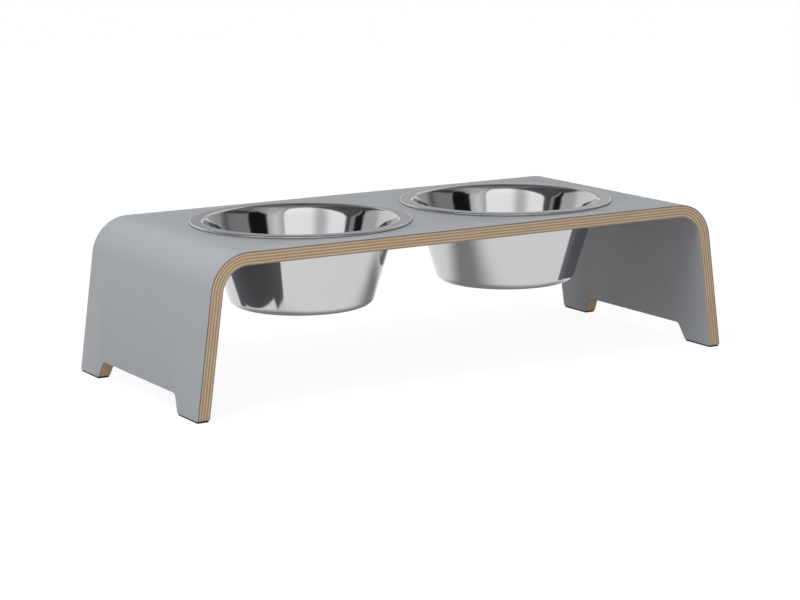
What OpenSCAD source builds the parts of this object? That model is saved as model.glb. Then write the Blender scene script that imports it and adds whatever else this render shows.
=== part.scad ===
// Dog feeding station: a low bench bent from one pressed board, with two drop-in steel bowls.
// Millimetres. Origin on the floor under the middle of the bench, +X along it, +Y to the back, +Z up.

/* [Bench] */
// Length between the outer faces of the feet, where the board ends
bench_length = 560; // [540:1:700]
// Depth from the front edge to the back edge
bench_width = 240; // [215:1:320]
// Height of the board's top above the ends of its feet
bench_height = 140; // [100:1:230]
// Angle by which each leg leans outwards from upright
leg_splay = 8; // [0:0.5:14]
// Outer radius of the two bends
bend_radius = 36; // [18:1:48]

/* [Pressed board] */
// Thickness of the laminate sheet on each face
laminate_thickness = 1.2; // [0.6:0.1:1.5]
// Thickness of each of the seven veneers
veneer_thickness = 1.3; // [0.8:0.1:1.8]

/* [Feet] */
// Width of each foot at its end
foot_width = 38.5; // [25:0.5:60]
// Height of the gap between the two feet of a leg
arch_height = 15.5; // [8:0.5:40]
// Lean of the gap's sides from upright
arch_lean = 28; // [5:1:45]
// Radius of the gap's two upper corners
arch_fillet = 5; // [1:0.5:8]
// Radius of the corners at the ends of the feet
foot_corner = 1.5; // [0.5:0.5:4]

/* [Foot pads] */
// Thickness of each non-slip pad
pad_thickness = 1.5; // [1:0.5:4]
// Distance from the faces of the board to the long sides of a pad
pad_side_inset = 1.5; // [0.5:0.5:3]
// Distance from the rounded corners of a foot to the ends of its pad
pad_end_inset = 0.5; // [0.5:0.5:4]
// Corner radius of a pad
pad_corner = 1; // [0.5:0.5:2]

/* [Bowls] */
// Distance between the centres of the two bowls
bowl_spacing = 224; // [206:1:240]
// Diameter over the hemmed edge of a bowl
rim_diameter = 202; // [170:1:214]
// Width of the flat flange, from the edge to the shoulder
flange_width = 10; // [8:0.5:14]
// Height of the flange's top above the board
flange_rise = 2.4; // [2:0.1:3]
// Width of the strip folded back under the flange
hem_width = 5; // [3:0.5:6]
// Height of a bowl from the flange's top to the underside of its bottom
bowl_height = 78.5; // [50:0.5:100]
// Lean of the bowl's wall from upright
wall_taper = 17; // [5:0.5:20]
// Radius of the shoulder between flange and wall, on the upper side
shoulder_radius = 4; // [2:0.5:6]
// Radius of the corner between wall and bottom, on the outside
corner_radius = 9; // [4:0.5:14]
// Thickness of the steel sheet
steel_thickness = 0.8; // [0.5:0.1:0.9]
// Gap between a bowl and the edge of its hole
hole_clearance = 1.2; // [0.8:0.1:2]

/* [Hidden] */
$fn = 120;

veneer_count = 7;
board_thickness = 2 * laminate_thickness + veneer_count * veneer_thickness;
foot_z = pad_thickness;
top_z = foot_z + bench_height;

// Centre of the right bend, which all the sheets of the board share
bend_z = top_z - bend_radius;
bend_x = bench_length / 2 - (bend_z - foot_z) * tan(leg_splay) - bend_radius / cos(leg_splay);
leg_normal = [cos(leg_splay), sin(leg_splay)];
leg_down = [sin(leg_splay), -cos(leg_splay)];
leg_reach = (bend_z + bend_radius) / cos(leg_splay);

// Gap between the feet of a leg, and how far its rounded corners reach along the foot's end
arch_half_foot = bench_width / 2 - foot_width;
arch_half_top = arch_half_foot - arch_height * tan(arch_lean);
arch_up = [-sin(arch_lean), cos(arch_lean)];
arch_corner_reach = foot_corner * tan((90 - arch_lean) / 2);

laminate_grey = "#9fa1a4";
wood_along = "#c4a582";
wood_across = "#8f6f52";
steel = "#c9cbcd";
pad_black = "#26292a";

// Bowl section, with r out from the bowl's axis and z up from the board's top
hem_radius = flange_rise / 2;
hem_centre = [rim_diameter / 2 - hem_radius, hem_radius];
shoulder_centre = [rim_diameter / 2 - flange_width, flange_rise - shoulder_radius];
wall_inward = [-cos(wall_taper), sin(wall_taper)];
shoulder_under = shoulder_radius - steel_thickness;
corner_z = flange_rise - bowl_height + corner_radius;
corner_offset = shoulder_centre + (shoulder_under + corner_radius) * wall_inward;
corner_centre = [corner_offset[0] - (corner_offset[1] - corner_z) * tan(wall_taper), corner_z];

// The hole clears the underside of the shoulder where it passes the board's top
hole_radius = shoulder_centre[0] - sqrt(pow(shoulder_under, 2) - pow(shoulder_centre[1], 2)) + hole_clearance;

// Board section below the surface that lies `depth` under the outer face, down past the feet
module pressed_form(depth) {
  radius = bend_radius - depth;
  bend_end = [bend_x, bend_z] + radius * leg_normal;
  leg_end = bend_end + leg_reach * leg_down;
  polygon([
    leg_end, bend_end, [bend_x, bend_z], [bend_x, bend_z + radius],
    [-bend_x, bend_z + radius], [-bend_x, bend_z], [-bend_end[0], bend_end[1]], [-leg_end[0], leg_end[1]]
  ]);
  for (side = [-1, 1])
    translate([side * bend_x, bend_z])
      circle(radius);
}

// Waste outside a rounded corner, between the edges that leave it along two unit directions
module corner_waste(corner, along_a, along_b, radius) {
  half = acos(along_a * along_b) / 2;
  reach = radius / tan(half);
  centre = corner + radius / sin(half) * (along_a + along_b) / norm(along_a + along_b);
  difference() {
    polygon([corner, corner + reach * along_a, centre, corner + reach * along_b]);
    translate(centre)
      circle(radius);
  }
}

// Outline of the board seen along its length: y across, z up, with the gap between the feet
module end_outline() {
  difference() {
    translate([-bench_width / 2, foot_z])
      square([bench_width, bench_height]);
    difference() {
      polygon([
        [-arch_half_foot, foot_z], [-arch_half_top, foot_z + arch_height],
        [arch_half_top, foot_z + arch_height], [arch_half_foot, foot_z]
      ]);
      for (side = [0, 1])
        mirror([side, 0])
          corner_waste([arch_half_top, foot_z + arch_height], [-1, 0], -arch_up, arch_fillet);
    }
    for (side = [0, 1])
      mirror([side, 0]) {
        corner_waste([bench_width / 2, foot_z], [-1, 0], [0, 1], foot_corner);
        corner_waste([arch_half_foot, foot_z], [1, 0], arch_up, foot_corner);
      }
  }
}

// One bent sheet of the board, between two depths under the outer face
module bent_sheet(from_depth, to_depth) {
  difference() {
    intersection() {
      rotate([90, 0, 0])
        linear_extrude(height = bench_width, center = true)
          difference() {
            pressed_form(from_depth);
            pressed_form(to_depth);
          }
      rotate([90, 0, 90])
        linear_extrude(height = bench_length, center = true)
          end_outline();
    }
    for (side = [-1, 1])
      translate([side * bowl_spacing / 2, 0, top_z - bend_radius])
        cylinder(r = hole_radius, h = 2 * bend_radius);
  }
}

// Veneers count from 1 under the outer laminate to 7 over the inner one.
// Odd ones have their grain along the board, even ones across it.
module veneer(number) {
  above = laminate_thickness + (number - 1) * veneer_thickness;
  color(number % 2 == 1 ? wood_along : wood_across)
    bent_sheet(above, above + veneer_thickness);
}

module face_veneer() {
  veneer(1);
}

module upper_crossband() {
  veneer(2);
}

module upper_long_veneer() {
  veneer(3);
}

module core_crossband() {
  veneer(4);
}

module lower_long_veneer() {
  veneer(5);
}

module lower_crossband() {
  veneer(6);
}

module back_veneer() {
  veneer(7);
}

module outer_laminate() {
  color(laminate_grey)
    bent_sheet(0, laminate_thickness);
}

module inner_laminate() {
  color(laminate_grey)
    bent_sheet(board_thickness - laminate_thickness, board_thickness);
}

// Space inside a bowl and above its flange, down to the surface that lies `inset` above the sheet's underside
module bowl_space(inset) {
  cap_z = 2 * flange_rise;
  floor_z = corner_z - corner_radius + inset;
  flange_z = flange_rise - steel_thickness + inset;
  wall_low = corner_centre - (corner_radius - inset) * wall_inward;
  wall_high = shoulder_centre + (shoulder_under + inset) * wall_inward;
  difference() {
    union() {
      polygon([
        [0, floor_z], [corner_centre[0], floor_z], corner_centre, wall_low, wall_high, shoulder_centre,
        [shoulder_centre[0], flange_z], [hem_centre[0], flange_z], [hem_centre[0], cap_z], [0, cap_z]
      ]);
      translate(corner_centre)
        circle(corner_radius - inset);
    }
    translate(shoulder_centre)
      circle(shoulder_under + inset);
  }
}

// Folded edge of the flange: what lies within `inset` of its outside is left out
module hem_form(inset) {
  translate(hem_centre)
    circle(hem_radius - inset);
  translate([hem_centre[0] - hem_width, inset])
    square([hem_width, flange_rise - 2 * inset]);
}

module bowl_section() {
  difference() {
    bowl_space(0);
    bowl_space(steel_thickness);
  }
  difference() {
    hem_form(0);
    hem_form(steel_thickness);
  }
}

module bowl(side) {
  color(steel)
    translate([side * bowl_spacing / 2, 0, top_z])
      rotate_extrude()
        bowl_section();
}

module bowl_left() {
  bowl(-1);
}

module bowl_right() {
  bowl(1);
}

// Pad under one foot, at the left or right (side) and the front or back (end)
module foot_pad(side, end) {
  foot_depth = board_thickness / cos(leg_splay);
  near = arch_half_foot + arch_corner_reach + pad_end_inset;
  far = bench_width / 2 - foot_corner - pad_end_inset;
  pad_size = [foot_depth - 2 * pad_side_inset, far - near];
  straight = pad_size - 2 * [pad_corner, pad_corner];
  color(pad_black)
    translate([side * (bench_length - foot_depth) / 2, end * (near + far) / 2, 0])
      linear_extrude(height = pad_thickness) {
        square([pad_size[0], straight[1]], center = true);
        square([straight[0], pad_size[1]], center = true);
        for (x = [-1, 1], y = [-1, 1])
          translate([x * straight[0], y * straight[1]] / 2)
            circle(pad_corner);
      }
}

module pad_left_front() {
  foot_pad(-1, -1);
}

module pad_left_rear() {
  foot_pad(-1, 1);
}

module pad_right_front() {
  foot_pad(1, -1);
}

module pad_right_rear() {
  foot_pad(1, 1);
}

outer_laminate();
face_veneer();
upper_crossband();
upper_long_veneer();
core_crossband();
lower_long_veneer();
lower_crossband();
back_veneer();
inner_laminate();
bowl_left();
bowl_right();
pad_left_front();
pad_left_rear();
pad_right_front();
pad_right_rear();
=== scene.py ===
"""Dog feeding station: a low bench bent from one pressed board, with two drop-in steel bowls.

The nine sheets of the board are cut flat and then bent as the press bends them, so that grain and texture follow the
board round its bends. The bowls are spun from their section, and the pads are cut and eased blocks. Lengths are metres,
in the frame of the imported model: origin on the floor under the middle, +X along the bench, +Y to its back, +Z up.
"""

import logging
import math
from dataclasses import dataclass
from enum import Enum
from functools import cache

import bmesh
import bpy
from bmesh.types import BMesh, BMFace, BMVert
from bpy.types import ID, Material, Node, NodeSocket, NodeTree, Object
from mathutils import Matrix, Vector


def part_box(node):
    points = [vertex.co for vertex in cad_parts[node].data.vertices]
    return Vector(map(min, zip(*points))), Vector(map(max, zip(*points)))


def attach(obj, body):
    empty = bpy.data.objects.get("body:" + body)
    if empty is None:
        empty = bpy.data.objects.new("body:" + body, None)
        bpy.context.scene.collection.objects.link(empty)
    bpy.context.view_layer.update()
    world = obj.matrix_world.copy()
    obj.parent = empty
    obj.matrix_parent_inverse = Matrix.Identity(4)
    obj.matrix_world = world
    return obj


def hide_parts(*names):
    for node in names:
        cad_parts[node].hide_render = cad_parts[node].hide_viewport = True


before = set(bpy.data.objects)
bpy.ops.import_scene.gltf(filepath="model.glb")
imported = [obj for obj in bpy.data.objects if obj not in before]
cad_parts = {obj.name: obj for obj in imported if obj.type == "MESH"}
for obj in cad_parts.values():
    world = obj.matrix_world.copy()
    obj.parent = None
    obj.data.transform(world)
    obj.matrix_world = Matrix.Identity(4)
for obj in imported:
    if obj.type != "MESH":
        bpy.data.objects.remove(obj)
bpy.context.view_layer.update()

LOG = logging.getLogger("feeding_station")
WHITE = (1.0, 1.0, 1.0, 1.0)
TO_MM = 1000.0
# Name of the attribute that keeps each point's place on the flat sheet: along, across and down
BOARD_RUN = "board_run"
BOARD_TOP = 0.1415
BOWL_SPACING = 0.224
# Width of the strips beside a bend that keep flat stretches flat in their shading
HOLD = 0.0004
EASE = 0.0002
EASE_STEPS = 2
SHARP_DEGREES = 35.0
# Places nearer than these are one place
SAME_PLACE = 1e-6
SAME_PLANE = 1e-7

Shade = tuple[int, int, int]
Pair = tuple[float, float]
Triple = tuple[float, float, float]
Four = tuple[float, float, float, float]


class Stock(Enum):
    """What a sheet of the board is cut from. The veneers' values go into the names of their finishes."""

    LAMINATE = "laminate"
    VENEER_ALONG = "veneer_along"
    VENEER_ACROSS = "veneer_across"


class LayFace(Enum):
    """Which of a sheet's two broad faces is open to view."""

    OUTER = "outer"
    INNER = "inner"


def linear(colour: Shade) -> Four:
    """Turns a display colour, from 0 to 255, into the linear values that a shader takes."""
    shares = [channel / 255 for channel in colour]
    return (*[s / 12.92 if s <= 0.04045 else ((s + 0.055) / 1.055) ** 2.4 for s in shares], 1.0)


class NodeSheet:
    """Places and joins the nodes of one material, world or group."""

    def __init__(self, tree: NodeTree) -> None:
        """Starts from an empty tree."""
        self.tree = tree
        tree.nodes.clear()

    def put(self, kind: str, inputs: dict | None = None, **settings: object) -> Node:
        """Adds one node.

        Args:
            kind: The node's type, without its ShaderNode prefix.
            inputs: What goes into each input: another node's socket, or a plain value.
            **settings: Properties of the node itself.

        Returns:
            The new node.
        """
        prefix = "" if kind.startswith("Node") else "ShaderNode"
        node = self.tree.nodes.new(prefix + kind)
        for name, value in settings.items():
            setattr(node, name, value)
        for key, value in (inputs or {}).items():
            socket = node.inputs[key]
            if isinstance(value, NodeSocket):
                self.tree.links.new(value, socket)
            else:
                socket.default_value = value
        return node

    def maths(self, operation: str, *values: object) -> NodeSocket:
        """Adds a Math node and gives its result."""
        return self.put("Math", dict(enumerate(values)), operation=operation).outputs[0]

    def times(self, first: object, second: object) -> NodeSocket:
        """Multiplies two numbers."""
        return self.maths("MULTIPLY", first, second)

    def vectors(self, operation: str, *values: object) -> NodeSocket:
        """Adds a Vector Math node and gives its vector."""
        return self.put("VectorMath", dict(enumerate(values)), operation=operation).outputs[0]

    def scaled(self, vector: NodeSocket, factor: object) -> NodeSocket:
        """Scales a vector by one factor."""
        return self.put("VectorMath", {0: vector, "Scale": factor}, operation="SCALE").outputs[0]

    def dot(self, first: object, second: object) -> NodeSocket:
        """Gives the dot product of two vectors."""
        return self.put("VectorMath", {0: first, 1: second}, operation="DOT_PRODUCT").outputs["Value"]

    def parts(self, vector: NodeSocket) -> list[NodeSocket]:
        """Splits a vector into its three parts."""
        return list(self.put("SeparateXYZ", {0: vector}).outputs)

    def place(self, kind: str) -> NodeSocket:
        """Gives the shaded point's own coordinates of one kind: Object, Normal or Generated."""
        return self.put("TexCoord").outputs[kind]

    def noise(self, vector: NodeSocket, scale: float, detail: float, roughness: float) -> NodeSocket:
        """Adds a Noise texture and gives its value from 0 to 1."""
        inputs = {"Vector": vector, "Scale": scale, "Detail": detail, "Roughness": roughness}
        return self.put("TexNoise", inputs).outputs[0]

    def spread(self, value: object, *ends: float, kind: str = "SMOOTHSTEP") -> NodeSocket:
        """Stretches a value from the first two ends to the other two, which are 0 and 1 where they aren't given."""
        inputs = dict(enumerate((value, *ends, *(0.0, 1.0)[len(ends) - 2:])))
        return self.put("MapRange", inputs, interpolation_type=kind).outputs[0]

    def mix(self, share: object, first: object, second: object) -> NodeSocket:
        """Mixes two numbers, where a share of 1 is the second."""
        return self.put("Mix", {0: share, 2: first, 3: second}).outputs[0]

    def blend(self, share: object, first: object, second: object, mode: str = "MIX") -> NodeSocket:
        """Mixes two colours, where a share of 1 is the second."""
        return self.put("Mix", {0: share, 6: first, 7: second}, data_type="RGBA", blend_type=mode).outputs[2]

    def bump(self, height: NodeSocket, strength: float, distance: float) -> NodeSocket:
        """Turns a relief of a distance in metres into shading."""
        return self.put("Bump", {"Height": height, "Strength": strength, "Distance": distance}).outputs[0]

    def group(self, tree: NodeTree, **inputs: object) -> dict[str, NodeSocket]:
        """Places a shared group and gives its outputs by name."""
        return dict(self.put("Group", inputs, node_tree=tree).outputs.items())

    def past_corner(self, place: tuple[NodeSocket, NodeSocket], corner: Pair) -> NodeSocket:
        """Measures how far a place lies outside a box, where both are given by how far they are from its middle."""
        first, second = (self.maths("MAXIMUM", self.maths("SUBTRACT", *pair), 0.0) for pair in zip(place, corner))
        return self.maths("SQRT", self.maths("MULTIPLY_ADD", first, first, self.times(second, second)))

    def principled(self, colour: object, rough: object, normal: object, **others: float) -> NodeSocket:
        """Adds the Principled shader and gives what it shades."""
        inputs = {"Base Color": colour, "Roughness": rough, "Normal": normal}
        return self.put("BsdfPrincipled", inputs | {key.replace("_", " "): others[key] for key in others}).outputs[0]


class SharedEffect:
    """A shader group that several finishes use."""

    def __init__(self, name: str, inputs: dict[str, str], outputs: tuple[str, ...]) -> None:
        """Makes the group with its named sockets.

        Args:
            name: The group's name.
            inputs: Socket type of each input, by name.
            outputs: Names of the outputs, which are plain values.
        """
        self.tree = bpy.data.node_groups.new(name, "ShaderNodeTree")
        for socket, kind in inputs.items():
            self.tree.interface.new_socket(socket, in_out="INPUT", socket_type="NodeSocket" + kind)
        for socket in outputs:
            self.tree.interface.new_socket(socket, in_out="OUTPUT", socket_type="NodeSocketFloat")
        self.sheet = NodeSheet(self.tree)
        self.given = self.sheet.put("NodeGroupInput").outputs

    def give(self, **values: NodeSocket) -> NodeTree:
        """Joins values to the group's outputs of those names and gives the group's tree."""
        self.sheet.put("NodeGroupOutput", values)
        return self.tree


@cache
def mottle_group() -> NodeTree:
    """Builds broad, faint unevenness, as of handling and of a sheet's print.

    Returns:
        The group's tree. Its Mask runs from 0 to 1, and Specks is 1 in a speck.
    """
    effect = SharedEffect("mottle", {"Place": "Vector", "Size": "Float"}, ("Mask", "Specks"))
    sheet, given = effect.sheet, effect.given
    place = sheet.scaled(given["Place"], sheet.maths("DIVIDE", 1.0, given["Size"]))
    broad = sheet.noise(place, 1.0, 4.0, 0.55)
    specks = sheet.noise(place, 37.0, 2.0, 0.6)
    return effect.give(Mask=sheet.spread(broad, 0.25, 0.75), Specks=sheet.spread(specks, 0.60, 0.74))


@cache
def pebble_group() -> NodeTree:
    """Builds the fine pebbled relief of a pressed or moulded surface.

    Returns:
        The group's tree. Its Height and its Grit run from 0 to 1.
    """
    effect = SharedEffect("pebble", {"Place": "Vector", "Size": "Float"}, ("Height", "Grit"))
    sheet, given = effect.sheet, effect.given
    place = sheet.scaled(given["Place"], sheet.maths("DIVIDE", 1.0, given["Size"]))
    cells = sheet.put("TexVoronoi", {"Vector": place, "Scale": 1.0}, feature="SMOOTH_F1").outputs[0]
    fine = sheet.noise(place, 2.3, 3.0, 0.6)
    return effect.give(Height=sheet.maths("ADD", sheet.times(cells, 0.7), sheet.times(fine, 0.5)), Grit=fine)


@cache
def timber_group() -> NodeTree:
    """Builds a cut face of wood, from long grain to end grain.

    Returns:
        The group's tree. Tone is 0 in dark and 1 in light wood, Pores is 1 in a pore, and Height is the relief.
    """
    inputs = {"Along": "Vector", "Round": "Vector", "End": "Float"}
    effect = SharedEffect("timber", inputs, ("Tone", "Pores", "Height"))
    sheet, given = effect.sheet, effect.given
    streaks = sheet.noise(given["Along"], 1.0, 4.0, 0.62)
    dashes = sheet.noise(given["Along"], 3.1, 2.0, 0.5)
    rings = sheet.noise(given["Round"], 0.55, 3.0, 0.6)
    dots = sheet.put("TexVoronoi", {"Vector": given["Round"], "Scale": 2.6}).outputs[0]
    tone = sheet.mix(given["End"], sheet.spread(streaks, 0.28, 0.72), sheet.spread(rings, 0.25, 0.75))
    pores = sheet.mix(given["End"], sheet.spread(dashes, 0.60, 0.72), sheet.spread(dots, 0.30, 0.12))
    return effect.give(Tone=tone, Pores=pores, Height=sheet.maths("SUBTRACT", sheet.times(tone, 0.4), pores))


class Finish:
    """A finish of one kind of surface. Each kind has its own way to paint."""

    def paint(self, sheet: NodeSheet) -> NodeSocket:
        """Lays out the nodes of the finish and gives what they shade."""
        raise NotImplementedError

    def material(self, name: str) -> Material:
        """Builds the finish as a material.

        Args:
            name: The material's name.

        Returns:
            The material.
        """
        material = bpy.data.materials.new(name)
        material.use_nodes = True
        sheet = NodeSheet(material.node_tree)
        sheet.put("OutputMaterial", {"Surface": self.paint(sheet)})
        return material


@dataclass(frozen=True)
class LaminateFinish(Finish):
    """The matte grey sheet on both faces of the board. Sizes are millimetres along, across and into it."""

    grey: Shade = (168, 171, 175)
    shade: Shade = (164, 167, 171)
    speck: Shade = (196, 198, 200)
    worn: Shade = (182, 183, 184)
    roughness: float = 0.42
    half_width: float = 120.0
    wear_reach: Pair = (1.1, 0.35)

    def paint(self, sheet: NodeSheet) -> NodeSocket:
        """Lays out the faint print, the pebbled press texture and the wear along the edges.

        Args:
            sheet: The material's nodes.

        Returns:
            What they shade.
        """
        place = sheet.scaled(sheet.put("Attribute", attribute_name=BOARD_RUN).outputs["Vector"], TO_MM)
        mottle = sheet.group(mottle_group(), Place=place, Size=46.0)
        pebble = sheet.group(pebble_group(), Place=place, Size=0.42)
        colour = sheet.blend(mottle["Mask"], linear(self.shade), linear(self.grey))
        grit = sheet.spread(pebble["Grit"], 0.3, 0.7, 0.965, 1.035)
        tint = sheet.put("CombineColor", {0: grit, 1: grit, 2: grit}).outputs[0]
        colour = sheet.blend(1.0, colour, tint, "MULTIPLY")
        colour = sheet.blend(sheet.times(mottle["Specks"], 0.10), colour, linear(self.speck))
        edge = sheet.maths("SUBTRACT", self.half_width, sheet.maths("ABSOLUTE", sheet.parts(place)[1]))
        ragged = sheet.maths("ADD", edge, sheet.times(pebble["Grit"], 0.5))
        colour = sheet.blend(sheet.spread(ragged, *self.wear_reach, 0.0, 0.5), colour, linear(self.worn))
        rough = sheet.maths("ADD", self.roughness - 0.05, sheet.times(mottle["Mask"], 0.07))
        rough = sheet.maths("ADD", rough, sheet.times(pebble["Grit"], 0.05))
        normal = sheet.bump(pebble["Height"], 0.10, 0.00005)
        return sheet.principled(colour, rough, normal, Specular_IOR_Level=0.45)


@dataclass(frozen=True)
class CoreFinish(Finish):
    """The cut edge of the laminate, where its layers of brown paper show."""

    light: Shade
    dark: Shade
    grime: Shade = (78, 68, 60)

    def paint(self, sheet: NodeSheet) -> NodeSocket:
        """Lays out the paper's layers and the grime in them.

        Args:
            sheet: The material's nodes.

        Returns:
            What they shade.
        """
        run = sheet.put("Attribute", attribute_name=BOARD_RUN).outputs["Vector"]
        layers = sheet.noise(sheet.vectors("MULTIPLY", run, (40, 40, 9000)), 1.0, 2.0, 0.6)
        grit = sheet.noise(sheet.scaled(run, TO_MM), 2.4, 3.0, 0.6)
        colour = sheet.blend(sheet.spread(layers, 0.3, 0.7), linear(self.dark), linear(self.light))
        colour = sheet.blend(sheet.spread(grit, 0.55, 0.75, 0.0, 0.3), colour, linear(self.grime))
        rough = sheet.spread(grit, 0.3, 0.7, 0.48, 0.62)
        return sheet.principled(colour, rough, sheet.bump(layers, 0.25, 0.00005))


@dataclass(frozen=True)
class VeneerFinish(Finish):
    """Sanded veneer, shown on its cut edges: long grain on two sides, end grain on the others."""

    stock: Stock
    light: Shade
    dark: Shade
    pore: Shade
    blush: Shade = (214, 168, 134)
    glue: Shade = (152, 120, 94)
    first_depth: float = 1.2
    pitch: float = 1.3
    glue_reach: Pair = (0.15, 0.03)

    def paint(self, sheet: NodeSheet) -> NodeSocket:
        """Lays out the grain, the pores, the wood's uneven hue and the dark glue lines.

        Args:
            sheet: The material's nodes.

        Returns:
            What they shade.
        """
        run = sheet.put("Attribute", attribute_name=BOARD_RUN).outputs["Vector"]
        along_board = self.stock is Stock.VENEER_ALONG
        along = sheet.vectors("MULTIPLY", run, (28, 1400, 2600) if along_board else (1400, 28, 2600))
        around = sheet.vectors("MULTIPLY", run, (1400, 1400, 1700))
        sideways = sheet.parts(sheet.place("Normal"))[1]
        square = sheet.times(sideways, sideways)
        end = sheet.maths("SUBTRACT", 1.0, square) if along_board else square
        timber = sheet.group(timber_group(), Along=along, Round=around, End=end)
        colour = sheet.blend(timber["Tone"], linear(self.dark), linear(self.light))
        colour = sheet.blend(sheet.times(end, 0.30), colour, linear(self.dark))
        colour = sheet.blend(sheet.times(timber["Pores"], 0.40), colour, linear(self.pore))
        place = sheet.scaled(run, TO_MM)
        hue = sheet.group(mottle_group(), Place=place, Size=38.0)["Mask"]
        colour = sheet.blend(sheet.times(hue, 0.20), colour, linear(self.blush))
        layer = sheet.maths("SUBTRACT", sheet.parts(place)[2], self.first_depth)
        from_glue = sheet.maths("PINGPONG", layer, self.pitch / 2)
        colour = sheet.blend(sheet.spread(from_glue, *self.glue_reach, 0.0, 0.40), colour, linear(self.glue))
        rough = sheet.spread(timber["Tone"], 0.0, 1.0, 0.62, 0.50)
        return sheet.principled(colour, rough, sheet.bump(timber["Height"], 0.22, 0.0001))


# Light and dark wood and its pores, and light and dark paper. Both laminates are the same paper; the inner laminate's
# cut edge is painted lighter, as painted light.
WOODS = {
    Stock.VENEER_ALONG: ((238, 218, 190), (222, 197, 164), (182, 147, 115)),
    Stock.VENEER_ACROSS: ((205, 171, 138), (180, 145, 113), (138, 103, 78)),
}
PAPERS_INNER_PAINTED_LIGHTER = {LayFace.OUTER: ((150, 138, 124), (120, 108, 96)), LayFace.INNER: ((188, 168, 144), (162, 140, 118))}


@dataclass(frozen=True)
class SteelFinish(Finish):
    """Polished stainless steel with the faint circles of its polishing, round the axis of one bowl."""

    centre: Triple
    tint: Four = (0.55, 0.555, 0.565, 1.0)
    dull: Four = (0.5, 0.5, 0.5, 1.0)
    circles: float = 2600.0
    wall_lean: float = math.radians(5.7)
    wall_facing: Pair = (0.80, 0.95)
    wall_top: Pair = (-0.0005, -0.002)

    def paint(self, sheet: NodeSheet) -> NodeSocket:
        """Lays out the polish and the smudges on it.

        Args:
            sheet: The material's nodes.

        Returns:
            What they shade.
        """
        local = sheet.vectors("SUBTRACT", sheet.place("Object"), self.centre)
        across, back, up = sheet.parts(local)
        radius = sheet.maths("SQRT", sheet.maths("MULTIPLY_ADD", across, across, sheet.times(back, back)))
        section = sheet.put("CombineXYZ", {0: radius, 1: up}).outputs[0]
        lines = sheet.noise(sheet.scaled(section, self.circles), 1.0, 2.0, 0.6)
        smudge = sheet.group(mottle_group(), Place=sheet.scaled(local, TO_MM), Size=30.0)
        rough = sheet.maths("ADD", 0.045, sheet.times(smudge["Mask"], 0.035))
        rough = sheet.maths("ADD", rough, sheet.times(lines, 0.02))
        colour = sheet.blend(sheet.times(smudge["Specks"], 0.05), self.tint, self.dull)
        normal = self.lean_wall(sheet, local, sheet.bump(lines, 0.012, 0.00002))
        return sheet.principled(colour, rough, normal, Metallic=1.0)

    def lean_wall(self, sheet: NodeSheet, local: NodeSocket, normal: NodeSocket) -> NodeSocket:
        """Shades the outside of the wall as if it stood a little steeper, so that it mirrors the legs as far down.

        Args:
            sheet: The material's nodes.
            local: The place, measured from the bowl's middle.
            normal: The shading so far.

        Returns:
            The leaned shading.
        """
        away = sheet.vectors("NORMALIZE", sheet.vectors("MULTIPLY", local, (1, 1, 0)))
        outward = sheet.spread(sheet.dot(away, sheet.place("Normal")), *self.wall_facing)
        share = sheet.times(outward, sheet.spread(sheet.parts(local)[2], *self.wall_top))
        lift = sheet.put("CombineXYZ", {2: sheet.times(share, math.tan(self.wall_lean))}).outputs[0]
        spaces = {"vector_type": "VECTOR", "convert_from": "OBJECT", "convert_to": "WORLD"}
        turned = sheet.put("VectorTransform", {0: lift}, **spaces).outputs[0]
        return sheet.vectors("NORMALIZE", sheet.vectors("ADD", normal, turned))


@dataclass(frozen=True)
class RubberFinish(Finish):
    """The black non-slip pads."""

    dark: Shade = (15, 16, 17)
    light: Shade = (23, 24, 25)

    def paint(self, sheet: NodeSheet) -> NodeSocket:
        """Lays out the moulded texture.

        Args:
            sheet: The material's nodes.

        Returns:
            What they shade.
        """
        place = sheet.scaled(sheet.place("Object"), TO_MM)
        mottle = sheet.group(mottle_group(), Place=place, Size=8.0)
        pebble = sheet.group(pebble_group(), Place=place, Size=0.5)
        colour = sheet.blend(mottle["Mask"], linear(self.dark), linear(self.light))
        rough = sheet.spread(pebble["Grit"], 0.3, 0.7, 0.62, 0.78)
        normal = sheet.bump(pebble["Height"], 0.4, 0.0001)
        return sheet.principled(colour, rough, normal, Specular_IOR_Level=0.2)


def is_wall(face: BMFace) -> bool:
    """Tells whether a face of a flat sheet or block stands upright."""
    return abs(face.normal.z) < 0.5


def soften(bm: BMesh, geom: list, reach: float, steps: int, affect: str = "EDGES", clamp: bool = False) -> None:
    """Rounds edges or corners in so many steps, as far as the bevel reaches."""
    bmesh.ops.bevel(bm, geom=geom, offset=reach, offset_type="OFFSET", segments=steps, profile=0.5, affect=affect,
                    material=-1, clamp_overlap=clamp)


def add_object(name: str, data: ID) -> Object:
    """Makes data into an object of the scene.

    Args:
        name: The object's name.
        data: Its mesh, camera or light.

    Returns:
        The object.
    """
    added = bpy.data.objects.new(name, data)
    bpy.context.scene.collection.objects.link(added)
    return added


def finish_piece(bm: BMesh, node: str, form: str, body: str, materials: list[Material]) -> Object:
    """Turns a finished mesh into the piece that stands for a CAD node, with smooth shading up to sharp edges.

    Args:
        bm: The mesh, in place. It is freed.
        node: The node that the piece stands for.
        form: What the piece is, for the end of its name.
        body: The body that it moves with.
        materials: The piece's materials, in slot order.

    Returns:
        The piece.
    """
    mesh = bpy.data.meshes.new(f"{node}_{form}")
    bm.to_mesh(mesh)
    bm.free()
    mesh.shade_smooth()
    mesh.set_sharp_from_angle(angle=math.radians(SHARP_DEGREES))
    for material in materials:
        mesh.materials.append(material)
    piece = add_object(mesh.name, mesh)
    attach(piece, body)
    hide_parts(node)
    return piece


@dataclass(frozen=True)
class SheetPlan:
    """One sheet of the board: its node, its stock, how deep its two faces lie, and which of them shows, if any."""

    node: str
    stock: Stock
    outer_depth: float
    inner_depth: float
    shows: LayFace | None = None


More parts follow.
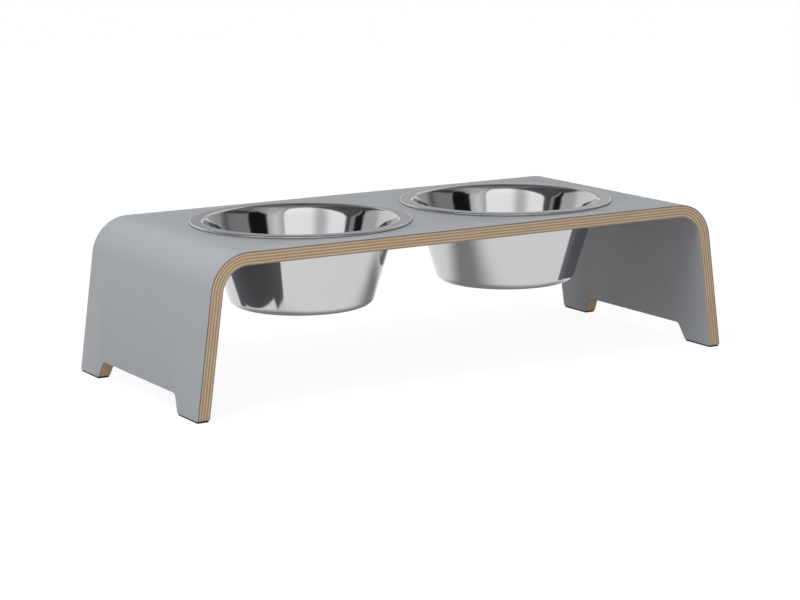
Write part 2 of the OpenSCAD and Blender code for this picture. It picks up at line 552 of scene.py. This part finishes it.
@dataclass
class PressedBoard:
    """The bench itself: nine sheets pressed into one bent board, with two bowl holes and a gap under each leg."""

    finishes: dict[Stock, Material]
    cut_edges: dict[LayFace, Material]
    width: float = 0.240
    length: float = 0.560
    foot_z: float = 0.0015
    splay: float = math.radians(8.0)
    bend_radius: float = 0.036
    laminate: float = 0.0012
    veneer: float = 0.0013
    veneers: tuple[str, ...] = ("face_veneer", "upper_crossband", "upper_long_veneer", "core_crossband",
                                "lower_long_veneer", "lower_crossband", "back_veneer")
    foot_width: float = 0.0385
    arch_height: float = 0.0155
    arch_lean: float = math.radians(28.0)
    arch_fillet: float = 0.005
    foot_corner: float = 0.0015
    fillet_steps: int = 16
    corner_steps: int = 8
    hole_radius: float = 0.08943
    hole_segments: int = 192
    bend_steps: int = 36
    leg_blend: float = 0.010
    leg_blend_drop: float = 0.006

    @property
    def bend_z(self) -> float:
        """Height of the bends' centres."""
        return BOARD_TOP - self.bend_radius

    @property
    def bend_x(self) -> float:
        """Distance of the bends' centres from the middle."""
        drop = (self.bend_z - self.foot_z) * math.tan(self.splay)
        return self.length / 2 - drop - self.bend_radius / math.cos(self.splay)

    @property
    def turn(self) -> float:
        """Angle through which the board bends."""
        return math.pi / 2 - self.splay

    @property
    def bend_end(self) -> float:
        """Where a bend ends on the flat sheet."""
        return self.bend_x + self.turn * (self.bend_radius - self.thickness / 2)

    @property
    def leg_start(self) -> float:
        """Where the flat sheet starts to measure plain height down the leg."""
        return self.bend_end + self.leg_blend

    @property
    def leg_start_z(self) -> float:
        """Height of that line."""
        return self.bend_z - self.leg_blend_drop

    @property
    def foot_end(self) -> float:
        """Where a foot ends on the flat sheet."""
        return self.leg_start + self.leg_start_z - self.foot_z

    @property
    def thickness(self) -> float:
        """Thickness of the board."""
        return 2 * self.laminate + len(self.veneers) * self.veneer

    def plans(self) -> list[SheetPlan]:
        """Lists the sheets from the outside in.

        Returns:
            The nine sheets.
        """
        plans = [SheetPlan("outer_laminate", Stock.LAMINATE, 0.0, self.laminate, LayFace.OUTER)]
        for count, name in enumerate(self.veneers):
            stock = Stock.VENEER_ACROSS if count % 2 else Stock.VENEER_ALONG
            depth = self.laminate + count * self.veneer
            plans.append(SheetPlan(name, stock, depth, depth + self.veneer))
        inner = self.thickness - self.laminate
        plans.append(SheetPlan("inner_laminate", Stock.LAMINATE, inner, self.thickness, LayFace.INNER))
        return plans

    def cut_flat(self) -> BMesh:
        """Cuts the flat outline that all the sheets share, with its holes and the lines along which it bends.

        Returns:
            The flat sheet, without thickness.
        """
        bm = bmesh.new()
        half = self.width / 2
        arch_foot = half - self.foot_width
        arch_top = arch_foot - self.arch_height * math.tan(self.arch_lean)
        end, crown = self.foot_end, self.foot_end - self.arch_height
        quarter = [(end, half), (end, arch_foot), (crown, arch_top)]
        right = quarter + [(u, -v) for u, v in reversed(quarter)]
        loop = [bm.verts.new((u, v, 0)) for u, v in right + [(-u, -v) for u, v in right]]
        bm.faces.new(loop)
        slant = math.tan((math.pi / 2 - self.arch_lean) / 2)
        rounds = (
            ((0, 5, 6, 11), self.foot_corner, self.corner_steps),
            ((1, 4, 7, 10), self.foot_corner * slant, self.corner_steps),
            ((2, 3, 8, 9), self.arch_fillet * slant, self.fillet_steps),
        )
        for corners, reach, steps in rounds:
            soften(bm, [loop[i] for i in corners], reach, steps, "VERTICES")
        bmesh.ops.delete(bm, geom=bm.faces, context="FACES_ONLY")
        for side in (-1, 1):
            bmesh.ops.create_circle(bm, cap_ends=False, radius=self.hole_radius, segments=self.hole_segments,
                                    matrix=Matrix.Translation((side * BOWL_SPACING / 2, 0, 0)))
        bmesh.ops.triangle_fill(bm, use_beauty=True, use_dissolve=False, edges=bm.edges, normal=(0, 0, 1))
        steps = [self.bend_x + k * (self.bend_end - self.bend_x) / self.bend_steps for k in range(self.bend_steps + 1)]
        for line in [self.bend_x - HOLD, *steps, self.bend_end + HOLD, self.leg_start]:
            for side in (-1, 1):
                geom = [*bm.verts, *bm.edges, *bm.faces]
                bmesh.ops.bisect_plane(bm, geom=geom, dist=SAME_PLANE, plane_co=(side * line, 0, 0),
                                       plane_no=(1, 0, 0))
        return bm

    def bent(self, along: float, across: float, depth: float) -> Vector:
        """Says where a point of the flat sheet comes to lie in the press.

        Args:
            along: Distance from the middle on the flat sheet.
            across: Distance from the middle towards the back.
            depth: Depth under the board's outer face.

        Returns:
            The point on the bent board.
        """
        reach, radius = abs(along), self.bend_radius - depth
        if reach <= self.bend_x:
            x, z = reach, BOARD_TOP - depth
        elif reach <= self.bend_end:
            angle = (reach - self.bend_x) / (self.bend_end - self.bend_x) * self.turn
            x, z = self.bend_x + radius * math.sin(angle), self.bend_z + radius * math.cos(angle)
        else:
            start_x = self.bend_x + radius * math.cos(self.splay)
            start_z = self.bend_z + radius * math.sin(self.splay)
            if reach <= self.leg_start:
                share = (reach - self.bend_end) / (self.leg_start - self.bend_end)
                z = start_z + share * (self.leg_start_z - start_z)
            else:
                z = self.leg_start_z - (reach - self.leg_start)
            x = start_x + (start_z - z) * math.tan(self.splay)
        return Vector((math.copysign(x, along), across, z))

    def press(self, flat: BMesh, plan: SheetPlan) -> Object:
        """Gives the flat sheet its thickness, bends it and dresses it.

        Args:
            flat: The flat sheet, which is left as it is.
            plan: Which sheet to make.

        Returns:
            The piece.
        """
        bm = flat.copy()
        bmesh.ops.translate(bm, verts=bm.verts, vec=(0, 0, -plan.outer_depth))
        lifted = bmesh.ops.extrude_face_region(bm, geom=bm.faces)
        lower = [part for part in lifted["geom"] if isinstance(part, BMVert)]
        bmesh.ops.translate(bm, verts=lower, vec=(0, 0, plan.outer_depth - plan.inner_depth))
        bmesh.ops.recalc_face_normals(bm, faces=bm.faces)
        for face in bm.faces:
            face.material_index = int(is_wall(face) and plan.stock is Stock.LAMINATE)
        if plan.shows:
            self.ease_arris(bm, -plan.outer_depth if plan.shows is LayFace.OUTER else -plan.inner_depth)
        layer = bm.verts.layers.float_vector.new(BOARD_RUN)
        for vert in bm.verts:
            along, across, height = vert.co
            vert[layer] = Vector((along, across, -height))
            vert.co = self.bent(along, across, -height)
        materials = [self.finishes[plan.stock]]
        if plan.stock is Stock.LAMINATE:
            materials.append(self.cut_edges[plan.shows])
        return finish_piece(bm, plan.node, "sheet", "bench", materials)

    def ease_arris(self, bm: BMesh, height: float) -> None:
        """Takes the sharpness off the edges round a broad face.

        Args:
            bm: The flat sheet with its thickness.
            height: Height of the broad face.
        """
        rim = [edge for edge in bm.edges if all(abs(vert.co.z - height) < SAME_PLACE for vert in edge.verts)
               and sum(is_wall(face) for face in edge.link_faces) == 1]
        soften(bm, rim, EASE, EASE_STEPS, clamp=True)

    def build(self) -> list[Object]:
        """Builds every sheet.

        Returns:
            The nine pieces.
        """
        flat = self.cut_flat()
        pieces = [self.press(flat, plan) for plan in self.plans()]
        flat.free()
        return pieces


class Pen:
    """Draws a section in a mesh, as a row of edges."""

    def __init__(self, bm: BMesh, start: Triple) -> None:
        """Sets the pen down in a mesh, where the section starts."""
        self.bm, self.tip = bm, bm.verts.new(start)

    def line(self, end: Vector) -> None:
        """Draws a straight stretch, with a short step at each end that keeps its shading flat.

        Args:
            end: Where the stretch ends.
        """
        start = self.tip.co.copy()
        step = (end - start).normalized() * HOLD
        for spot in (start + step, end - step, end):
            self.tip = bmesh.ops.extrude_vert_indiv(self.bm, verts=[self.tip])["verts"][0]
            self.tip.co = spot

    def arc(self, centre: Triple, angle: float, steps: int) -> None:
        """Draws a round stretch about a centre, through an angle and in so many steps."""
        spun = bmesh.ops.spin(self.bm, geom=[self.tip], cent=centre, axis=(0, 1, 0), dvec=(0, 0, 0), angle=angle,
                              steps=steps, use_duplicate=False)
        self.tip = next(part for part in spun["geom_last"] if isinstance(part, BMVert))


@dataclass
class DropInBowl:
    """One pressed steel bowl: a flat bottom, a leaning wall, a rounded shoulder, and a flange with a folded hem."""

    name: str
    side: int
    rim_radius: float = 0.101
    flange: float = 0.010
    rise: float = 0.0024
    hem: float = 0.005
    height: float = 0.0785
    taper: float = math.radians(17.0)
    shoulder: float = 0.004
    nib: float = 0.0031
    lead_lean: float = math.radians(25.0)
    corner: float = 0.009
    steel: float = 0.0008
    turns: int = 256
    corner_steps: int = 14
    lead_steps: int = 12
    round_steps: int = 16

    @property
    def centre(self) -> Vector:
        """Where the bowl's axis meets the board's top."""
        return Vector((self.side * BOWL_SPACING / 2, 0, BOARD_TOP))

    def draw_section(self, bm: BMesh) -> None:
        """Draws the bowl's inside and top line, from the middle of its bottom to the end of its hem.

        Args:
            bm: The mesh to draw in.
        """
        cos, sin = math.cos(self.taper), math.sin(self.taper)
        hem_radius = self.rise / 2
        hem_r = self.rim_radius - hem_radius
        shoulder = Vector((self.rim_radius - self.flange, 0, self.rise - self.shoulder))
        corner_z = self.rise - self.height + self.corner
        under = self.shoulder - self.steel + self.corner
        corner_r = shoulder.x - under * cos - (shoulder.z + under * sin - corner_z) * math.tan(self.taper)
        inner = self.corner - self.steel
        wall_side = Vector((-cos, 0, sin))
        lead_side = Vector((-math.cos(self.lead_lean), 0, math.sin(self.lead_lean)))
        nib = Vector((shoulder.x, 0, self.rise - self.nib)) + self.nib * lead_side
        gap = (Vector((corner_r, 0, corner_z)) - nib).dot(wall_side) - inner
        lead = gap / (1 - math.cos(self.lead_lean - self.taper))
        lead_centre = nib - lead * lead_side
        pen = Pen(bm, (0, 0, corner_z - inner))
        pen.line(Vector((corner_r, 0, corner_z - inner)))
        pen.arc((corner_r, 0, corner_z), self.taper - math.pi / 2, self.corner_steps)
        pen.line(lead_centre + lead * wall_side)
        pen.arc(lead_centre, self.lead_lean - self.taper, self.lead_steps)
        pen.arc((shoulder.x, 0, self.rise - self.nib), math.pi / 2 - self.lead_lean, self.round_steps)
        pen.line(Vector((hem_r, 0, self.rise)))
        pen.arc((hem_r, 0, hem_radius), math.pi, self.round_steps)
        pen.line(Vector((hem_r - self.hem, 0, 0)))

    def build(self) -> Object:
        """Spins the section round the bowl's axis and gives the sheet its thickness.

        Returns:
            The piece.
        """
        bm = bmesh.new()
        self.draw_section(bm)
        bmesh.ops.spin(bm, geom=[*bm.verts, *bm.edges], cent=(0, 0, 0), axis=(0, 0, 1), dvec=(0, 0, 0),
                       angle=2 * math.pi, steps=self.turns, use_merge=True, use_duplicate=False)
        bmesh.ops.remove_doubles(bm, verts=bm.verts, dist=SAME_PLACE)
        bmesh.ops.recalc_face_normals(bm, faces=bm.faces)
        inside = min(bm.faces, key=lambda face: face.calc_center_median().xy.length)
        if inside.normal.z < 0:
            bmesh.ops.reverse_faces(bm, faces=bm.faces)
        bmesh.ops.solidify(bm, geom=bm.faces, thickness=self.steel)
        bmesh.ops.translate(bm, verts=bm.verts, vec=self.centre)
        finish = SteelFinish(tuple(self.centre)).material(self.name + "_steel")
        return finish_piece(bm, self.name, "shell", self.name, [finish])


@dataclass
class FootPads:
    """The four thin black pads under the feet, each a little larger than the box of its node."""

    finish: Material
    nodes: tuple[str, ...] = ("pad_left_front", "pad_left_rear", "pad_right_front", "pad_right_rear")
    corner: float = 0.001
    corner_steps: int = 8
    spare: Triple = (0.0012, 0.0009, 0.0)

    def build(self) -> list[Object]:
        """Builds the four pads."""
        return [self.pad(node) for node in self.nodes]

    def pad(self, node: str) -> Object:
        """Cuts one pad, rounds its corners and eases its rims.

        Args:
            node: The pad's node.

        Returns:
            The piece.
        """
        low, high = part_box(node)
        size = high - low + 2 * Vector(self.spare)
        bm = bmesh.new()
        bmesh.ops.create_cube(bm, size=1.0)
        bmesh.ops.scale(bm, vec=size, verts=bm.verts)
        upright = [edge for edge in bm.edges if abs(edge.verts[0].co.z - edge.verts[1].co.z) > size.z / 2]
        soften(bm, upright, self.corner, self.corner_steps)
        rims = [edge for edge in bm.edges if sum(is_wall(face) for face in edge.link_faces) == 1]
        soften(bm, rims, EASE, EASE_STEPS)
        bmesh.ops.translate(bm, verts=bm.verts, vec=(low + high) / 2)
        return finish_piece(bm, node, "block", "bench", [self.finish])


@dataclass(frozen=True)
class ViewCamera:
    """The camera at the photograph's place."""

    place: Triple = (-1.097174, -1.779262, 0.466511)
    heading: float = math.radians(31.4965)
    dip: float = math.radians(11.1086)
    roll: float = math.radians(-0.3993)
    lens: float = 102.03
    sensor: float = 36.0
    clip: Pair = (0.05, 60.0)

    def build(self) -> None:
        """Sets the camera up."""
        data = bpy.data.cameras.new("view_camera")
        data.lens, data.sensor_width, data.sensor_fit = self.lens, self.sensor, "HORIZONTAL"
        data.clip_start, data.clip_end = self.clip
        camera = add_object("view_camera", data)
        turn = Matrix.Rotation(-self.heading, 4, "Z") @ Matrix.Rotation(math.pi / 2 - self.dip, 4, "X")
        camera.matrix_world = Matrix.Translation(self.place) @ turn @ Matrix.Rotation(self.roll, 4, "Z")
        bpy.context.scene.camera = camera


@dataclass(frozen=True)
class Softbox:
    """One soft lamp, aimed at the middle of the bench."""

    place: Triple = (-0.90, -0.40, 1.35)
    aim: Triple = (0.0, 0.0, 0.08)
    size: float = 0.8
    watts: float = 12.5

    def build(self) -> None:
        """Hangs the lamp, which doesn't show in the steel."""
        data = bpy.data.lights.new("left_softbox", "AREA")
        data.shape, data.size, data.energy = "SQUARE", self.size, self.watts
        lamp = add_object("left_softbox", data)
        lamp.visible_glossy = lamp.visible_camera = False
        way = Vector(self.aim) - Vector(self.place)
        lamp.matrix_world = Matrix.Translation(self.place) @ way.to_track_quat("-Z", "Y").to_matrix().to_4x4()


class Sky(NodeSheet):
    """The world's nodes, with the bearing and the height at which the world is looked up, in degrees.

    Bearings run round the station, from the side where the camera stands, and count up to its left.
    """

    def __init__(self, tree: NodeTree, heading: float) -> None:
        """Measures the bearing and the height.

        Args:
            tree: The world's node tree.
            heading: Compass heading of the view, in radians.
        """
        super().__init__(tree)
        way = self.place("Generated")
        near = self.dot(way, (-math.sin(heading), -math.cos(heading), 0))
        left = self.dot(way, (-math.cos(heading), math.sin(heading), 0))
        self.bearing = self.maths("DEGREES", self.maths("ARCTAN2", left, near))
        self.height = self.maths("DEGREES", self.maths("ARCSINE", self.parts(way)[2]))

    def beside(self, bearing: float) -> NodeSocket:
        """Measures how many degrees the direction lies beside a bearing."""
        return self.maths("ABSOLUTE", self.maths("SUBTRACT", self.bearing, bearing))


@dataclass(frozen=True)
class SoftPanel:
    """The large lit panel beside the camera, as it is mirrored in the bowls. Its sizes are in degrees."""

    middle: float = 18.0
    half_width: float = 42.5
    top: float = 37.3
    faces: float = 3.0
    nearest: float = 0.05
    corner: float = 9.0
    soft: float = 0.8
    level: float = 1.17
    upward: Four = (22.0, 36.0, 0.98, 1.12)
    seam: float = 24.5
    seam_sides: Pair = (1.5, 16.0)
    seam_level: float = 0.66

    def mask(self, sky: Sky) -> NodeSocket:
        """Builds the panel's rounded shape, with a top edge that runs level on the panel itself.

        Args:
            sky: The world's nodes.

        Returns:
            A mask that is 1 on the panel.
        """
        turned = sky.maths("RADIANS", sky.maths("SUBTRACT", sky.bearing, self.faces))
        nearness = sky.maths("MAXIMUM", sky.maths("COSINE", turned), self.nearest)
        slope = sky.maths("DIVIDE", sky.maths("TANGENT", sky.maths("RADIANS", sky.height)), nearness)
        upright = sky.maths("DEGREES", sky.maths("ARCTANGENT", slope))
        corner = (self.half_width - self.corner, self.top - self.corner)
        reach = sky.past_corner((sky.beside(self.middle), upright), corner)
        return sky.spread(reach, self.corner + self.soft, self.corner - self.soft)

    def brightness(self, sky: Sky) -> NodeSocket:
        """Builds the panel's brightness, where 1 is white, with its duller seam."""
        across = sky.spread(sky.beside(self.seam), *self.seam_sides, self.seam_level, self.level)
        return sky.times(across, sky.spread(sky.height, *self.upward))


# What stands at each bearing round the station: how bright the wall is, how bright what shows over it, where the wall
# ends and where the ceiling starts. Angles are degrees.
STUDIO = {
    "right half of the far wall": [
        (-180, 0.41, 0.3, 14, 38), (-174, 0.46, 0.6, 16, 42), (-168, 0.55, 0.85, 18, 46), (-150, 0.5, 0.8, 20, 54),
        (-138, 0.42, 0.75, 22, 54), (-123, 0.38, 0.5, 24, 50)],
    "dark post": [(-117, 0.235, 0.3, 24, 34), (-111, 0.135, 0.06, 21.5, 27)],
    "right wall": [(-105, 0.23, 0.06, 22, 27.5), (-96, 0.26, 0.06, 23.5, 28), (-75, 0.27, 0.06, 25.5, 29.5)],
    "right flag": [(-73, 0.01, 0.2, 28.5, 34), (-60, 0.01, 0.36, 30, 36), (-48.5, 0.01, 0.45, 26.5, 36.5)],
    "lit gap": [(-46.5, 0.58, 0.52, 30, 36.5), (-36, 0.84, 0.58, 27, 37)],
    "behind the panel": [(-20, 0.4, 0.4, 45, 38), (20, 0.1, 0.1, 45, 38), (59, 0.1, 0.08, 30, 38)],
    "the panel's stand": [(61, 0.06, 0.08, 27, 38), (63.5, 0.05, 0.08, 27, 38)],
    "grey strip": [(65.5, 0.33, 0.08, 26, 38), (71, 0.32, 0.08, 26, 38)],
    "left flag": [(73, 0.01, 0.08, 25, 38), (84, 0.01, 0.08, 24.5, 38)],
    "left wall": [(86.5, 0.52, 0.08, 24, 38), (106, 0.53, 0.07, 23, 38)],
    "left paper": [(116, 0.84, 0.08, 24, 38), (134, 0.86, 0.55, 30, 40), (160, 0.8, 0.75, 28, 40)],
    "left half of the far wall": [(172, 0.34, 0.36, 20, 38), (180, 0.41, 0.3, 14, 38)],
}


@dataclass(frozen=True)
class StudioWalls:
    """White paper low down, a lit panel and dark walls above it, and a dim ceiling with a gap over the camera."""

    panel: SoftPanel = SoftPanel()
    edge: float = 1.2
    lean: Four = (19.3, 25.3, 0.0, 19.0)
    lean_starts: Pair = (57.0, 62.0)
    lean_ends: Four = (78.0, 92.0, 1.0, 0.2)
    roof: Four = (48.0, 66.0, 0.22, 0.13)
    roof_lamps: Four = (50.0, 68.0, 0.18, 0.62)
    gap_level: float = 0.04
    gap_sides: Pair = (45.0, 15.0)
    gap_heights: Pair = (50.0, 70.0)
    paper: float = 0.95
    paper_ends: Pair = (8.0, 3.0)

    def radiance(self, sky: Sky, mirrored: NodeSocket) -> NodeSocket:
        """Builds the brightness of the surroundings in every direction.

        Args:
            sky: The world's nodes.
            mirrored: 1 where the surroundings are seen in a mirroring surface. Its ceiling shows no lamps.

        Returns:
            The brightness, where 1 is white.
        """
        walls = self.wall_ramp(sky)
        wall, over, top = sky.put("SeparateColor", {0: walls["Color"]}).outputs
        gap = sky.times(sky.spread(sky.beside(0.0), *self.gap_sides), sky.spread(sky.height, *self.gap_heights))
        roof = sky.mix(gap, sky.spread(sky.height, *self.roof), self.gap_level)
        roof = sky.mix(mirrored, sky.spread(sky.height, *self.roof_lamps), roof)
        level = sky.mix(self.past(sky, top), wall, over)
        level = sky.mix(self.past(sky, walls["Alpha"]), level, roof)
        level = sky.mix(self.panel.mask(sky), level, self.panel.brightness(sky))
        return sky.mix(sky.spread(sky.height, *self.paper_ends), level, self.paper)

    def leaned(self, sky: Sky) -> NodeSocket:
        """Gives the bearing at which the walls are read, so that the left flag leans off the panel up to its top."""
        share = sky.times(sky.spread(sky.bearing, *self.lean_starts), sky.spread(sky.bearing, *self.lean_ends))
        return sky.maths("SUBTRACT", sky.bearing, sky.times(sky.spread(sky.height, *self.lean, kind="LINEAR"), share))

    def wall_ramp(self, sky: Sky) -> dict[str, NodeSocket]:
        """Lays the stops out on a ramp round the station, with their four values as its colour.

        Args:
            sky: The world's nodes.

        Returns:
            The ramp's outputs, by name.
        """
        ramp = sky.put("ValToRGB", {0: sky.maths("MULTIPLY_ADD", self.leaned(sky), 1 / 360, 0.5)})
        marks = ramp.color_ramp.elements
        stops = [stop for part in STUDIO.values() for stop in part]
        for index, (bearing, wall, over, top, ceiling) in enumerate(stops):
            place = bearing / 360 + 0.5
            mark = marks[index] if index < 2 else marks.new(place)
            mark.position, mark.color = place, (wall, over, top / 90, ceiling / 90)
        return dict(ramp.outputs.items())

    def past(self, sky: Sky, share: NodeSocket) -> NodeSocket:
        """Builds a mask that is 1 above a height, which the ramp gives as a share of the right angle."""
        above = sky.maths("SUBTRACT", sky.height, sky.times(share, 90.0))
        return sky.spread(above, -self.edge, self.edge)


@dataclass(frozen=True)
class FloorFinish(Finish):
    """The pale floor, which keeps the station's shadow, with a painted shade under the bench that shows only where the
    floor is mirrored.
    """

    glow: float = 1.13
    glow_share: float = 0.80
    albedo: Pair = (0.32, 0.90)
    # Painted shade under the bench: its glow level, the half sizes of its box and how soft its edge is
    shade: float = 0.29
    painted_shade_corner: Pair = (0.165, 0.025)
    painted_shade_soft: float = 0.14

    def paint(self, sheet: NodeSheet) -> NodeSocket:
        """Lays out a matt floor with a glow, which the camera and the steel see and the lit surfaces don't. Where the
        floor is mirrored, the glow is dimmed under the bench by a painted shade.

        Args:
            sheet: The material's nodes.

        Returns:
            What they shade.
        """
        path = sheet.put("LightPath").outputs
        seen = sheet.maths("MAXIMUM", path["Is Camera Ray"], path["Is Transmission Ray"])
        seen = sheet.maths("MAXIMUM", seen, path["Is Glossy Ray"])
        matt = sheet.put("BsdfDiffuse", {"Color": sheet.mix(seen, *self.albedo)})
        # Painted shade: a soft dark box under the bench, which dims the glow that mirroring surfaces see
        along, across, _ = (sheet.maths("ABSOLUTE", part) for part in sheet.parts(sheet.place("Object")))
        outside = sheet.past_corner((along, across), self.painted_shade_corner)
        shade = sheet.spread(outside, 0.0, self.painted_shade_soft, self.shade, 1.0)
        strength = sheet.times(sheet.mix(path["Is Glossy Ray"], 1.0, shade), self.glow)
        glow = sheet.put("Emission", {"Color": WHITE, "Strength": strength})
        inputs = {0: sheet.times(seen, self.glow_share), 1: matt.outputs[0], 2: glow.outputs[0]}
        return sheet.put("MixShader", inputs).outputs[0]


@dataclass
class Studio:
    """The pale floor, the studio's walls and the soft lamp."""

    heading: float
    floor: FloorFinish = FloorFinish()
    walls: StudioWalls = StudioWalls()
    lamp: Softbox = Softbox()
    floor_reach: float = 14.0
    surround: float = 1.15
    mirrored: float = 1.10

    def build(self) -> None:
        """Builds the studio round the station."""
        self.lay_floor()
        self.light_surroundings()
        self.lamp.build()

    def lay_floor(self) -> None:
        """Lays the floor."""
        bm = bmesh.new()
        bmesh.ops.create_grid(bm, x_segments=1, y_segments=1, size=self.floor_reach)
        mesh = bpy.data.meshes.new("studio_floor")
        bm.to_mesh(mesh)
        bm.free()
        mesh.materials.append(self.floor.material("pale_floor"))
        floor = add_object("studio_floor", mesh)

    def light_surroundings(self) -> None:
        """Sets the surroundings, which are plain white where the camera sees them."""
        world = bpy.data.worlds.new("studio_surround")
        world.use_nodes = True
        bpy.context.scene.world = world
        sky = Sky(world.node_tree, self.heading)
        path = sky.put("LightPath").outputs
        seen = sky.maths("MAXIMUM", path["Is Camera Ray"], path["Is Transmission Ray"])
        share = sky.mix(path["Is Glossy Ray"], self.surround, self.mirrored)
        radiance = self.walls.radiance(sky, path["Is Glossy Ray"])
        strength = sky.mix(seen, sky.times(radiance, share), 1.0)
        glow = sky.put("Background", {"Color": WHITE, "Strength": strength})
        sky.put("OutputWorld", {"Surface": glow.outputs[0]})


def main() -> None:
    """Builds the station from the board down, and then the studio round it."""
    logging.basicConfig(level=logging.INFO, format="%(message)s")
    board = PressedBoard(
        finishes={
            Stock.LAMINATE: LaminateFinish().material("matte_grey_laminate"),
            **{stock: VeneerFinish(stock, *shades).material(f"sanded_{stock.value}")
               for stock, shades in WOODS.items()},
        },
        # Painted light: the inner laminate's cut edge gets lighter paper than the outer's
        cut_edges={face: CoreFinish(*shades).material(f"{face.value}_laminate_cut_edge")
                   for face, shades in PAPERS_INNER_PAINTED_LIGHTER.items()},
    )
    bowls = [DropInBowl("bowl_left", -1), DropInBowl("bowl_right", 1)]
    pads = FootPads(RubberFinish().material("black_pad_rubber"))
    for piece in [*board.build(), *[bowl.build() for bowl in bowls], *pads.build()]:
        LOG.info("%s: %d faces", piece.name, len(piece.data.polygons))
    camera = ViewCamera()
    camera.build()
    Studio(camera.heading).build()
    bpy.context.scene.view_settings.view_transform = "Standard"


if __name__ == "__main__":
    main()
